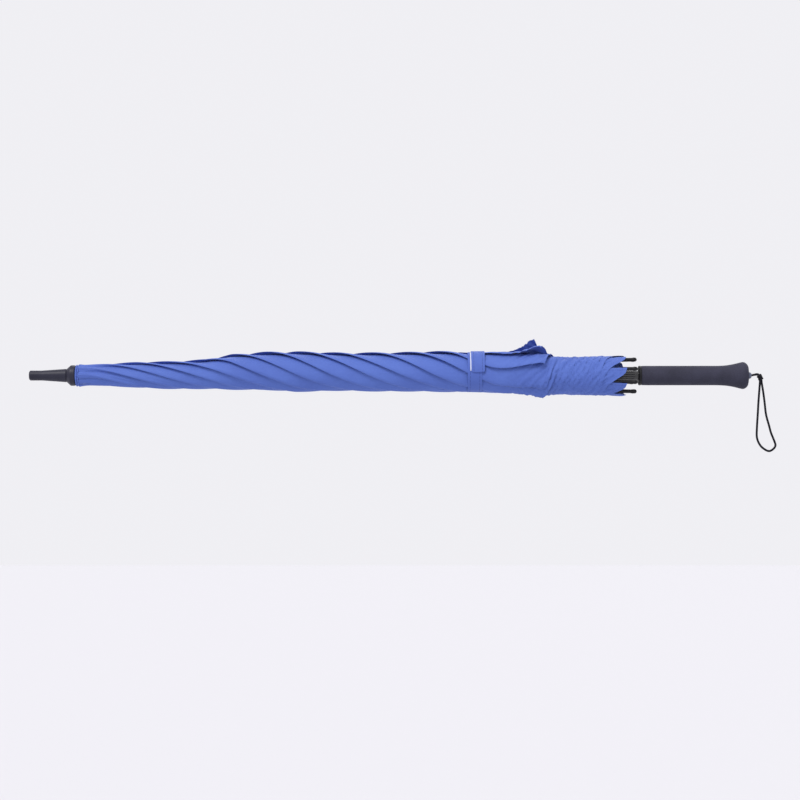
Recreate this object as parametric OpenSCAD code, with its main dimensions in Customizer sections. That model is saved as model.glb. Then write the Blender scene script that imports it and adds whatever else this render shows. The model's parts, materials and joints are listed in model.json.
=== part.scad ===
// Stick umbrella, furled. The shaft lies along X, the handle points to +X, the ferrule to -X.
// The origin is the centre of the grip. Every rib, stretcher and gore is drawn in its own
// radial frame (X along the shaft, Y outward, Z around it) and turned to its place.

/* [Canopy frame] */
// Number of ribs, and of gores between them
rib_count = 8; // [8:1:8]
// Length of a rib from its hinge to the end of its tip
rib_length = 768; // [760:1:775]
// Distance from a rib's hinge to the stretcher's pivot
stretch_at = 330; // [325:1:333]
// Radius of the rings that the ribs and stretchers hinge on
hinge_r = 9.8; // [9.8:0.05:9.9]
// Tilt of a furled rib away from the shaft, in degrees
furled_tilt = 1.05; // [1:0.01:1.1]
// Radius of the round fibreglass ribs
rib_r = 2.1; // [2:0.05:2.2]
// Radius of the steel stretchers
stretcher_r = 1.5; // [1.4:0.05:1.5]

/* [Shaft and ferrule] */
// Outer radius of the tubular shaft
shaft_r = 7; // [7:0.01:7.02]
// Wall of the tubular shaft
shaft_wall = 1; // [0.8:0.05:1.1]
// Radius of the ferrule's straight nose
ferrule_r = 6.95; // [6.5:0.05:7.2]
// Length of the ferrule's straight nose
ferrule_nose = 16; // [12:0.5:20]

/* [Handle] */
// Length of the grip
grip_length = 152; // [148:1:156]
// Radius of the straight part of the grip
grip_r = 13.3; // [13:0.1:14]
// Radius of the flare at the grip's end
flare_r = 18.7; // [17:0.1:19]

/* [Canopy cloth] */
// Length of a furled gore along its rib
gore_length = 735; // [720:1:738]
// Radius of the furled canopy where the strap ties it
furled_r = 26.5; // [26:0.1:26.6]
// Width of the tie strap
strap_w = 24; // [20:1:26]

/* [Wrist cord] */
// Diameter of the wrist cord
cord_d = 3; // [2.5:0.1:3.2]

/* [Hidden] */
$fn = 64;
gap = 0.05;
eps = 0.01;

// Places along the shaft
crown_x = -847;
ferrule_tip_x = -922;
cap_x0 = -869.5;
cap_x1 = -858;
shaft_x0 = -862;
shaft_x1 = 60;
grip_x0 = -grip_length / 2;
grip_x1 = grip_length / 2;

// The stretcher and the rib's first part are equal legs, so the runner slides on a straight line
pivot_drop = 4.6;
leg = sqrt(stretch_at * stretch_at + pivot_drop * pivot_drop);
leg_tilt = furled_tilt - asin(pivot_drop / leg);
runner_x = crown_x + 2 * leg * cos(leg_tilt);
first_rib = 180 / rib_count;
pitch = 360 / rib_count;

// Hinge rings
wire_r = 0.6;
eye_bore = 0.75;
eye_r = 1.5;
tab_t = 2.6;
slot_w = 3.2;
slot_r = 8.2;
rim_r = 12.2;
rim_half = 3.5;
tab_l = 7;

// Runner and catches
runner_bore = shaft_r + 0.08;
runner_r = 10.6;
runner_l = 65;
groove_r = 9.1;
groove_w = 3.8;
tooth_r = 8.9;
tooth_w = 3;
tooth_l = 10;
top_catch_x = -500;
bottom_catch_x = -137;
leaf_l = 44;
leaf_t = 0.8;
leaf_r = 5.2;

// Rib tip and the clip that carries the stretcher
clip_r = 3.1;
clip_l = 10;
clip_bore = rib_r + gap;
lug_t = 2.2;
rivet_r = 0.8;
cheek_in = 1.3;
cheek_out = 2.5;
tip_l = 26;
tip_r = 3;

// Handle
core_r = 9.5;
handle_pin_x = 48;
crown_pin_x = -854.5;
plug_x = 66.2;
plug_end_x = 81;

// Cord route: out of the end plug, through the knot, round the loop and back, in X, Y, Z
cord_route = [
    [81, -1.7, 0], [85, -1.7, 1], [90, -1.7, 1], [93, -1.7, -3], [93, -1.7, -9], [92, -1.6, -23],
    [91, -1.4, -37], [90, -1.2, -55], [89, -1, -72], [89, -0.6, -86], [93, -0.3, -96],
    [99, 0, -102], [106, 0.2, -105], [112, 0.4, -102], [115, 0.6, -97], [113, 0.8, -90],
    [109, 1, -80], [106, 1.2, -69], [102, 1.4, -54], [100, 1.6, -37], [98, 1.7, -22],
    [96, 1.7, -10], [95, 1.7, -3], [91, 1.7, 1.6], [86, 1.7, 1.2], [81, 1.7, 0]
];
knot_at = [93.5, 0, -2.6];

function numbered(stem) = [for (i = [1:rib_count]) str(stem, i)];

// A profile of [x, radius] points turned about the shaft's axis
module turned(points, sweep = 360) {
    rotate([0, 90, 0]) rotate_extrude(angle = sweep) polygon([for (p = points) [p[1], p[0]]]);
}

// A plain round bar along X between two places
module bar(x0, x1, r) {
    translate([x0, 0, 0]) rotate([0, 90, 0]) cylinder(r = r, h = x1 - x0);
}

// A box between two corners
module block(low, high) {
    translate(low) cube(high - low);
}

// Places a child in the radial frame of rib i
module at_rib(i) {
    rotate([first_rib + (i - 1) * pitch, 0, 0]) children();
}

// Places a child in the frame of furled rib i: X along the rib from its hinge
module on_rib(i) {
    at_rib(i) translate([crown_x, hinge_r, 0]) rotate([0, 0, furled_tilt]) children();
}

// A disc with its axis across the rib, for eyes, lugs and cheeks
module cross_disc(r, z0, z1) {
    translate([0, 0, z0]) cylinder(r = r, h = z1 - z0);
}

// The round groove that a hinge wire lies in
module wire_ring(x, r) {
    translate([x, 0, 0]) rotate([0, 90, 0]) rotate_extrude() translate([hinge_r, 0]) circle(r = r);
}

// A grooved hinge ring with one slot for each rib or stretcher
module notch_rim(x) {
    difference() {
        bar(x - rim_half, x + rim_half, rim_r);
        for (i = [1:rib_count]) at_rib(i)
            block([x - rim_half - 1, slot_r, -slot_w / 2], [x + rim_half + 1, rim_r + 2, slot_w / 2]);
        wire_ring(x, wire_r + gap);
    }
}

module shaft_tube() {
    color("black") difference() {
        bar(shaft_x0, shaft_x1, shaft_r);
        bar(shaft_x0 - 1, shaft_x1 + 1, shaft_r - shaft_wall);
        for (x = [top_catch_x, bottom_catch_x])
            block([x - tooth_l / 2 - 0.4, -shaft_r - 1, -tooth_w / 2 - 0.3],
                  [x + tooth_l / 2 + 0.4, 0, tooth_w / 2 + 0.3]);
        cross_bore(crown_pin_x, 1.02, 10);
        cross_bore(handle_pin_x, 1.22, 10);
    }
}

// A bore straight through the shaft along Z
module cross_bore(x, r, half) {
    translate([x, 0, -half]) cylinder(r = r, h = 2 * half);
}

module top_plug() {
    color("dimgray") difference() {
        union() {
            bar(shaft_x0, -846, shaft_r - shaft_wall - gap);
            bar(-888, shaft_x0 + eps, 4);
        }
        cross_bore(crown_pin_x, 1.02, 10);
    }
}

module ferrule() {
    nose_x = ferrule_tip_x + 1.5;
    color([0.13, 0.13, 0.2]) difference() {
        turned([[ferrule_tip_x, 0], [ferrule_tip_x, ferrule_r - 1.4], [nose_x, ferrule_r],
                [nose_x + ferrule_nose, ferrule_r], [-871, 9.25], [-870, 8.8], [-870, 0]]);
        bar(-889, -869, 4 + gap);
    }
}

module crown_cap() {
    color([0.13, 0.13, 0.2]) difference() {
        turned([[cap_x0, 0], [cap_x0, 9.6], [cap_x0 + 5, 14.1], [cap_x0 + 6.5, 14.3],
                [cap_x1 - 1, 14.3], [cap_x1, 13.8], [cap_x1, 0]]);
        bar(shaft_x0, cap_x1 + 1, shaft_r + gap);
        bar(cap_x0 - 1, shaft_x0 + eps, 4 + gap);
    }
}

module rosette() {
    color("royalblue") turned([[-857.9, 9.1], [-857.9, 14.6], [-857, 15.5], [-855.6, 15.2],
                               [-854.8, 14.4], [-853.8, 15.2], [-852.4, 15.4], [-851.2, 14.2],
                               [-851.2, 9.1]]);
}

module crown_notch() {
    color("black") difference() {
        union() {
            notch_rim(crown_x);
            bar(cap_x1 + 0.1, crown_x - rim_half + 0.5, 9);
        }
        bar(cap_x1 - 1, crown_x + rim_half + 1, shaft_r + 0.02);
        cross_bore(crown_pin_x, 1.02, 10);
    }
}

module crown_wire() {
    color("silver") wire_ring(crown_x, wire_r);
}

module crown_pin() {
    color("silver") cross_bore(crown_pin_x, 1, 8.9);
}

module handle_core() {
    color("dimgray") difference() {
        bar(grip_x0 + 4.1, plug_x - 0.1, core_r);
        bar(grip_x0, shaft_x1 + 0.1, shaft_r + gap);
        bar(0, plug_x + 1, 5);
        cross_bore(handle_pin_x, 1.22, 12);
    }
}

module handle_grip() {
    bore = core_r + gap;
    color([0.22, 0.22, 0.28]) difference() {
        turned([[grip_x0 + 4.1, 0], [grip_x0 + 4.1, grip_r - 0.6], [grip_x0 + 5, grip_r],
                [40, grip_r], [42, 14.6], [49, 14.9], [51, 16.2], [57, 16.6], [59, 17.9],
                [66, flare_r - 0.2], [69, flare_r], [72, 18.2], [74.6, 16.4], [grip_x1, 13.2],
                [grip_x1, 0]]);
        bar(grip_x0, plug_x, bore);
        bar(plug_x - 1, grip_x1 + 1, 5);
    }
}

module handle_lip() {
    color("black") difference() {
        turned([[grip_x0, 0], [grip_x0, 12.6], [grip_x0 + 1, 13.6], [grip_x0 + 3, 13.6],
                [grip_x0 + 4, 13], [grip_x0 + 4, 0]]);
        bar(grip_x0 - 1, grip_x0 + 5, shaft_r + gap);
    }
}

module end_plug() {
    color("slategray") turned([[plug_x, 0], [plug_x, 4.9], [77, 4.9], [79, 4.6],
                               [80.4, 3.9], [plug_end_x, 3.4], [plug_end_x, 0]]);
}

module handle_pin() {
    color("silver") cross_bore(handle_pin_x, 1.2, 9.2);
}

// A tube swept along a route of points, closed at both ends
module swept_tube(route, r, sides) {
    n = len(route);
    function along(i) = route[min(i + 1, n - 1)] - route[max(i - 1, 0)];
    function unit(v) = v / norm(v);
    function side(i) = unit(cross([0, 1, 0], along(i)));
    function lift(i) = unit(cross(along(i), side(i)));
    rings = [for (i = [0:n - 1]) for (j = [0:sides - 1])
        route[i] + r * (cos(360 * j / sides) * side(i) + sin(360 * j / sides) * lift(i))];
    walls = [for (i = [0:n - 2]) for (j = [0:sides - 1])
        [i * sides + j, (i + 1) * sides + j,
         (i + 1) * sides + (j + 1) % sides, i * sides + (j + 1) % sides]];
    polyhedron(rings, concat(walls, [[for (j = [0:sides - 1]) j]],
                             [[for (j = [sides - 1:-1:0]) (n - 1) * sides + j]]));
}

module wrist_cord() {
    color("black") swept_tube(cord_route, cord_d / 2, 8);
}

module cord_knot() {
    color("black") translate(knot_at) rotate([0, 35, 0]) rotate_extrude()
        intersection() {
            translate([1.4, 0]) circle(r = 3);
            translate([0, -4]) square([6, 8]);
        }
}

module runner() {
    x0 = runner_x + rim_half - 0.5;
    x1 = runner_x + runner_l;
    color("black") difference() {
        union() {
            notch_rim(runner_x);
            turned([[x0, 0], [x0, 10], [x0 + 4, 10], [x0 + 6, runner_r], [x1 - 14, runner_r],
                    [x1 - 12, 11.8], [x1 - 3, 11.8], [x1, 10.4], [x1, 0]]);
        }
        bar(runner_x - rim_half - 1, x1 + 1, runner_bore);
        block([runner_x - rim_half - 1, -groove_r, -groove_w / 2], [x1 + 1, 0, groove_w / 2]);
    }
}

module runner_wire() {
    color("silver") wire_ring(runner_x, wire_r);
}

// A leaf spring inside the tube with a tooth that stands out of its slot
module catch(x) {
    half = tooth_l / 2;
    color("silver") translate([x, 0, 0]) {
        block([-half, -leaf_r, -tooth_w / 2], [leaf_l - half, -leaf_r + leaf_t, tooth_w / 2]);
        translate([0, 0, -tooth_w / 2]) linear_extrude(tooth_w)
            polygon([[-half, -leaf_r], [-half, -tooth_r], [half - 6, -tooth_r], [half, -shaft_r],
                     [half, -leaf_r]]);
    }
}

module top_catch() { catch(top_catch_x); }
module bottom_catch() { catch(bottom_catch_x); }

module tie_strap() {
    x0 = crown_x + 533.5;
    color("cornflowerblue") turned([[x0, furled_r + 0.3], [x0, furled_r + 1.5],
                                    [x0 + strap_w, furled_r + 1.5], [x0 + strap_w, furled_r + 0.3]]);
}

// A flat tab with an eye that hangs on a hinge wire and runs into the rod
module hinge_tab(rod_r) {
    difference() {
        union() {
            cross_disc(eye_r, -tab_t / 2, tab_t / 2);
            block([0, -1.2, -tab_t / 2], [tab_l, 1.2, tab_t / 2]);
            bar(tab_l - 1, tab_l + 1, rod_r);
        }
        cross_disc(eye_bore, -tab_t, tab_t);
    }
}

module rib(i) {
    color([0.1, 0.1, 0.12]) on_rib(i) {
        hinge_tab(rib_r);
        bar(tab_l, rib_length - 8, rib_r);
    }
}

module rib_tip(i) {
    x0 = rib_length - tip_l;
    color("black") on_rib(i) difference() {
        turned([[x0, 0], [x0, 2.5], [x0 + 3, 2.7], [rib_length - 7, 2.5], [rib_length - 4, tip_r],
                [rib_length - 1.6, 2.8], [rib_length, 1.2], [rib_length, 0]]);
        bar(x0 - 1, rib_length - 8 + gap, rib_r + gap);
    }
}

// Clip on the rib, with the lug and rivet that the stretcher turns on
module rib_joint(i) {
    color("dimgray") on_rib(i) translate([stretch_at, 0, 0]) {
        difference() {
            union() {
                bar(-clip_l / 2, clip_l / 2, clip_r);
                block([-eye_r, -pivot_drop, -lug_t / 2], [eye_r, -rib_r - 0.5, lug_t / 2]);
                translate([0, -pivot_drop, 0]) cross_disc(eye_r, -lug_t / 2, lug_t / 2);
            }
            bar(-clip_l, clip_l, clip_bore);
        }
        translate([0, -pivot_drop, 0]) cross_disc(rivet_r, -cheek_out - 0.3, cheek_out + 0.3);
    }
}

// Drawn from its rib pivot towards the runner, then from the runner's ring for the eye
module stretcher(i) {
    fork_l = 8;
    color("silver") on_rib(i) translate([stretch_at, -pivot_drop, 0])
        rotate([0, 0, -leg_tilt - furled_tilt]) {
            difference() {
                union() {
                    for (z = [-cheek_out, cheek_in]) {
                        cross_disc(eye_r, z, z + cheek_out - cheek_in);
                        block([0, -1.2, z], [fork_l, 1.2, z + cheek_out - cheek_in]);
                    }
                    block([fork_l - 2.5, -1.2, -cheek_out], [fork_l, 1.2, cheek_out]);
                }
                cross_disc(rivet_r + gap * 2, -cheek_out - 1, cheek_out + 1);
            }
            bar(fork_l - 0.5, leg - tab_l, stretcher_r);
            translate([leg, 0, 0]) mirror([1, 0, 0]) hinge_tab(stretcher_r);
        }
}

// One gore, gathered between its two ribs; the top one carries the loose corner of its hem
module canopy_gore(i) {
    edge = 0.25;
    taper = sin(furled_tilt);
    outline = [[3, 14.3], [78, 17.5], [134, 18.8], [176, 20.5], [210, 24.5], [250, furled_r],
               [640, furled_r], [gore_length, 27.8]];
    inner = 13.3;
    color("cornflowerblue") {
        rotate([90 + first_rib + (i - 1) * pitch + edge, 0, 0]) turned(
            concat([[crown_x + 3, inner + 3 * taper]],
                   [for (p = outline) [crown_x + p[0], p[1]]],
                   [[crown_x + gore_length, inner + gore_length * taper]]),
            pitch - 2 * edge);
        if (i == 2) translate([0, 3, 0]) rotate([90, 0, 0]) linear_extrude(6)
            polygon([[-288, 25], [-288, 34], [-262, 42], [-226, 49], [-213, 42], [-200, 33],
                     [-199, 25]]);
    }
}

shaft_tube();
top_plug();
ferrule();
crown_cap();
rosette();
crown_notch();
crown_wire();
crown_pin();
handle_core();
handle_grip();
handle_lip();
end_plug();
handle_pin();
wrist_cord();
cord_knot();
runner();
runner_wire();
top_catch();
bottom_catch();
tie_strap();
for (i = [1:rib_count]) {
    rib(i);
    rib_tip(i);
    rib_joint(i);
    stretcher(i);
    canopy_gore(i);
}
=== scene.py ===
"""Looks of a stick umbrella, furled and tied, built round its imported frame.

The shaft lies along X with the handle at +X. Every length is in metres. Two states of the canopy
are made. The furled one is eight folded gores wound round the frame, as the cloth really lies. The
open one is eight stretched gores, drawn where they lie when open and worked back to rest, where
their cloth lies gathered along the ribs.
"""

from __future__ import annotations

import json
import logging
import math
from collections.abc import Callable
from dataclasses import dataclass, field
from enum import Enum
from functools import partial

import bmesh
import bpy
import numpy as np
from mathutils import Matrix, Vector, noise

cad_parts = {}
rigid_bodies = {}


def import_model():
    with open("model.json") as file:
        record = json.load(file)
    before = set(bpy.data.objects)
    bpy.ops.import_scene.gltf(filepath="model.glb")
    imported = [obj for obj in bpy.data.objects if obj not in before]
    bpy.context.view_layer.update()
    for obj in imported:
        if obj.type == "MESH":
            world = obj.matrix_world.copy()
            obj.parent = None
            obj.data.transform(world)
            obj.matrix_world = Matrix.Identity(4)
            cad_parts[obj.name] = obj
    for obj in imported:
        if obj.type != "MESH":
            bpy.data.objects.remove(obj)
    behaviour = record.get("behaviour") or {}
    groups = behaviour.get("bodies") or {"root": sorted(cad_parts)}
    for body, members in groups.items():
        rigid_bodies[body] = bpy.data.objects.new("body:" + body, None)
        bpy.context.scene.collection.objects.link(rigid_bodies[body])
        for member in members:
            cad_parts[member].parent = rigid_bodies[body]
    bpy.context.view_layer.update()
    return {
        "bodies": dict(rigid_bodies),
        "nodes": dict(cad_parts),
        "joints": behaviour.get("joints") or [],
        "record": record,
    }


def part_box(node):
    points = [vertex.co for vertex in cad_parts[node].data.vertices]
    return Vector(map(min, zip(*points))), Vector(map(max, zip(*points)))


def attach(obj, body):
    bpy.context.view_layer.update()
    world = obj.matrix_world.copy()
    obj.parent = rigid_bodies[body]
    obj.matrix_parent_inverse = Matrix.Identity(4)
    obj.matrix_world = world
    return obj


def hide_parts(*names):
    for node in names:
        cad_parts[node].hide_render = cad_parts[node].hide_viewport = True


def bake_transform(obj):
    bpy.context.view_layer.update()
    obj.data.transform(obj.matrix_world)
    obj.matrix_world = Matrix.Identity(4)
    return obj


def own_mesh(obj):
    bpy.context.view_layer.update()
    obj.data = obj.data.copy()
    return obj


log = logging.getLogger("stick_umbrella")

MM = 0.001
GORES = 8
PITCH = 2 * math.pi / GORES
# The distance from a seam that is written where the cloth has none.
UNSEWN = 0.05
Color = tuple[float, float, float]


class Body(Enum):
    """The kinds of body that pieces ride on."""

    SHAFT = "shaft"
    RIB = "rib"
    GORE = "gore"

    def numbered(self, index: int) -> str:
        """The name of one of the eight bodies of this kind, counted round from 0."""
        return f"{self.value}_{index % GORES + 1}"


class Half(Enum):
    """The two halves of a folded gore."""

    OUTER = 0
    INNER = 1


def smooth(value: float, low: float = 0.0, high: float = 1.0) -> float:
    """Eases from 0 at low to 1 at high.

    Args:
        value: The number to ease.
        low: Where the step starts.
        high: Where the step ends.

    Returns:
        A number from 0 to 1.
    """
    share = min(1.0, max(0.0, (value - low) / (high - low)))
    return share * share * (3 - 2 * share)


def along_table(value: float, table: tuple[tuple[float, float], ...]) -> float:
    """Reads a short table of (place, size) pairs, with straight lines between them.

    Args:
        value: The place to read.
        table: Pairs in rising order of place.

    Returns:
        The size at that place.
    """
    if value <= table[0][0]:
        return table[0][1]
    for (x0, y0), (x1, y1) in zip(table, table[1:]):
        if value <= x1:
            return y0 + (y1 - y0) * (value - x0) / (x1 - x0)
    return table[-1][1]


def hump(value: float, middle: float, width: float) -> float:
    """A smooth hump, 1 at its middle and falling to nothing a few widths away."""
    return math.exp(-(((value - middle) / width) ** 2))


def ring_noise(angle: float, size: float, third: float) -> float:
    """Noise that runs round a ring without a seam.

    Args:
        angle: The place on the ring.
        size: The ring's radius in the noise. A larger ring gives finer noise.
        third: The place along the ring's axis in the noise.

    Returns:
        A number from -1 to 1.
    """
    return noise.noise(Vector((math.cos(angle) * size, math.sin(angle) * size, third)))


def radial(angle: float) -> Vector:
    """The direction out from the shaft at an angle round it."""
    return Vector((0.0, math.cos(angle), math.sin(angle)))


def tangent(angle: float) -> Vector:
    """The direction round the shaft at an angle, which is also a rib's hinge axis."""
    return Vector((0.0, -math.sin(angle), math.cos(angle)))


# ---------------------------------------------------------------------------------------------
# Shader node groups
# ---------------------------------------------------------------------------------------------


@dataclass
class GroupBuilder:
    """Makes a shader node group with named inputs and outputs.

    Attributes:
        name: The group's name.
        inputs: Pairs of socket name and default value.
        outputs: Pairs of socket name and socket type.
        tree: The group itself.
        entry: The node that gives its inputs.
        leave: The node that takes its outputs.
    """

    name: str
    inputs: tuple[tuple[str, float], ...]
    outputs: tuple[tuple[str, str], ...]
    tree: bpy.types.NodeTree = field(init=False)
    entry: bpy.types.Node = field(init=False)
    leave: bpy.types.Node = field(init=False)

    def __post_init__(self) -> None:
        """Makes the empty group and its sockets."""
        self.tree = bpy.data.node_groups.new(self.name, "ShaderNodeTree")
        self.tree.interface.new_socket("Vector", in_out="INPUT", socket_type="NodeSocketVector")
        for name, default in self.inputs:
            socket = self.tree.interface.new_socket(
                name, in_out="INPUT", socket_type="NodeSocketFloat"
            )
            socket.default_value = default
        for name, kind in self.outputs:
            self.tree.interface.new_socket(name, in_out="OUTPUT", socket_type=kind)
        self.entry = self.tree.nodes.new("NodeGroupInput")
        self.leave = self.tree.nodes.new("NodeGroupOutput")

    def node(self, kind: str, **settings: object) -> bpy.types.Node:
        """Adds a node and sets its properties.

        Args:
            kind: The node's type name.
            **settings: Properties to set on it.

        Returns:
            The new node.
        """
        made = self.tree.nodes.new(kind)
        for key, value in settings.items():
            setattr(made, key, value)
        return made

    def link(self, source: bpy.types.NodeSocket, target: bpy.types.NodeSocket) -> None:
        """Joins two sockets."""
        self.tree.links.new(source, target)

    def math(self, operation: str, *values: bpy.types.NodeSocket | float) -> bpy.types.NodeSocket:
        """Adds a Math node fed by sockets or numbers.

        Args:
            operation: The Math node's operation.
            *values: A socket or a number for each input.

        Returns:
            The node's output socket.
        """
        made = self.node("ShaderNodeMath", operation=operation)
        for slot, value in zip(made.inputs, values):
            if isinstance(value, (int, float)):
                slot.default_value = value
            else:
                self.link(value, slot)
        return made.outputs[0]


@dataclass
class SharedEffects:
    """The effects that several finishes use, each a node group built once.

    Attributes:
        weave: The height of a plain weave.
        stitches: The mask of a row of stitches.
        mottle: A slow change of tone.
        pores: The height of small open cells.
        scuffs: The mask of fine rubbed marks.
    """

    weave: bpy.types.NodeTree = field(init=False)
    stitches: bpy.types.NodeTree = field(init=False)
    mottle: bpy.types.NodeTree = field(init=False)
    pores: bpy.types.NodeTree = field(init=False)
    scuffs: bpy.types.NodeTree = field(init=False)

    def __post_init__(self) -> None:
        """Builds every group."""
        self.weave = self._weave()
        self.stitches = self._stitches()
        self.mottle = self._mottle()
        self.pores = self._pores()
        self.scuffs = self._scuffs()

    @staticmethod
    def _weave() -> bpy.types.NodeTree:
        """Plain weave: threads that rise and dip by turns along both directions of the cloth.

        Returns:
            The group.
        """
        made = GroupBuilder(
            "plain_weave", (("Threads per metre", 2200.0),), (("Height", "NodeSocketFloat"),)
        )
        scale = made.node("ShaderNodeVectorMath", operation="SCALE")
        made.link(made.entry.outputs["Vector"], scale.inputs[0])
        made.link(made.entry.outputs["Threads per metre"], scale.inputs["Scale"])
        split = made.node("ShaderNodeSeparateXYZ")
        made.link(scale.outputs[0], split.inputs[0])
        warp = made.math("SINE", made.math("MULTIPLY", split.outputs[0], math.pi))
        weft = made.math("SINE", made.math("MULTIPLY", split.outputs[1], math.pi))
        made.link(made.math("MULTIPLY", warp, weft), made.leave.inputs["Height"])
        return made.tree

    @staticmethod
    def _stitches() -> bpy.types.NodeTree:
        """A row of stitches at a set distance from an edge, from a map of (distance, run).

        Returns:
            The group.
        """
        made = GroupBuilder(
            "stitch_row",
            (("Distance", 0.004), ("Width", 0.0007), ("Length", 0.003)),
            (("Mask", "NodeSocketFloat"),),
        )
        split = made.node("ShaderNodeSeparateXYZ")
        made.link(made.entry.outputs["Vector"], split.inputs[0])
        off = made.math("SUBTRACT", split.outputs[0], made.entry.outputs["Distance"])
        near = made.math("LESS_THAN", made.math("ABSOLUTE", off), made.entry.outputs["Width"])
        run = made.math("DIVIDE", split.outputs[1], made.entry.outputs["Length"])
        dash = made.math("LESS_THAN", made.math("FRACT", run), 0.72)
        made.link(made.math("MULTIPLY", near, dash), made.leave.inputs["Mask"])
        return made.tree

    @staticmethod
    def _mottle() -> bpy.types.NodeTree:
        """Slow, soft change of tone across a surface, with a finer layer on top.

        Returns:
            The group.
        """
        made = GroupBuilder(
            "soft_mottle", (("Scale", 20.0), ("Fine scale", 220.0)), (("Tone", "NodeSocketFloat"),)
        )
        tones = []
        for name, detail in (("Scale", 3.0), ("Fine scale", 2.0)):
            cloud = made.node("ShaderNodeTexNoise")
            cloud.inputs["Detail"].default_value = detail
            made.link(made.entry.outputs["Vector"], cloud.inputs["Vector"])
            made.link(made.entry.outputs[name], cloud.inputs["Scale"])
            tones.append(cloud.outputs["Fac"])
        blended = made.math("ADD", made.math("MULTIPLY", tones[0], 0.7),
                            made.math("MULTIPLY", tones[1], 0.3))
        made.link(blended, made.leave.inputs["Tone"])
        return made.tree

    @staticmethod
    def _pores() -> bpy.types.NodeTree:
        """Small open cells, as on moulded foam.

        Returns:
            The group.
        """
        made = GroupBuilder("foam_pores", (("Scale", 900.0),), (("Height", "NodeSocketFloat"),))
        cells = made.node("ShaderNodeTexVoronoi", feature="F1")
        made.link(made.entry.outputs["Vector"], cells.inputs["Vector"])
        made.link(made.entry.outputs["Scale"], cells.inputs["Scale"])
        grain = made.node("ShaderNodeTexNoise")
        grain.inputs["Detail"].default_value = 4.0
        made.link(made.entry.outputs["Vector"], grain.inputs["Vector"])
        made.link(made.math("MULTIPLY", made.entry.outputs["Scale"], 0.45), grain.inputs["Scale"])
        both = made.math("ADD", cells.outputs["Distance"], grain.outputs["Fac"])
        made.link(both, made.leave.inputs["Height"])
        return made.tree

    @staticmethod
    def _scuffs() -> bpy.types.NodeTree:
        """Fine rubbed marks that lie along the shaft.

        Returns:
            The group.
        """
        made = GroupBuilder("fine_scuffs", (("Scale", 90.0),), (("Mask", "NodeSocketFloat"),))
        stretch = made.node("ShaderNodeMapping")
        stretch.inputs["Scale"].default_value = (0.12, 1.0, 1.0)
        made.link(made.entry.outputs["Vector"], stretch.inputs["Vector"])
        marks = made.node("ShaderNodeTexNoise")
        marks.inputs["Detail"].default_value = 5.0
        marks.inputs["Roughness"].default_value = 0.7
        made.link(stretch.outputs[0], marks.inputs["Vector"])
        made.link(made.entry.outputs["Scale"], marks.inputs["Scale"])
        made.link(marks.outputs["Fac"], made.leave.inputs["Mask"])
        return made.tree


# ---------------------------------------------------------------------------------------------
# Finishes
# ---------------------------------------------------------------------------------------------


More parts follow.
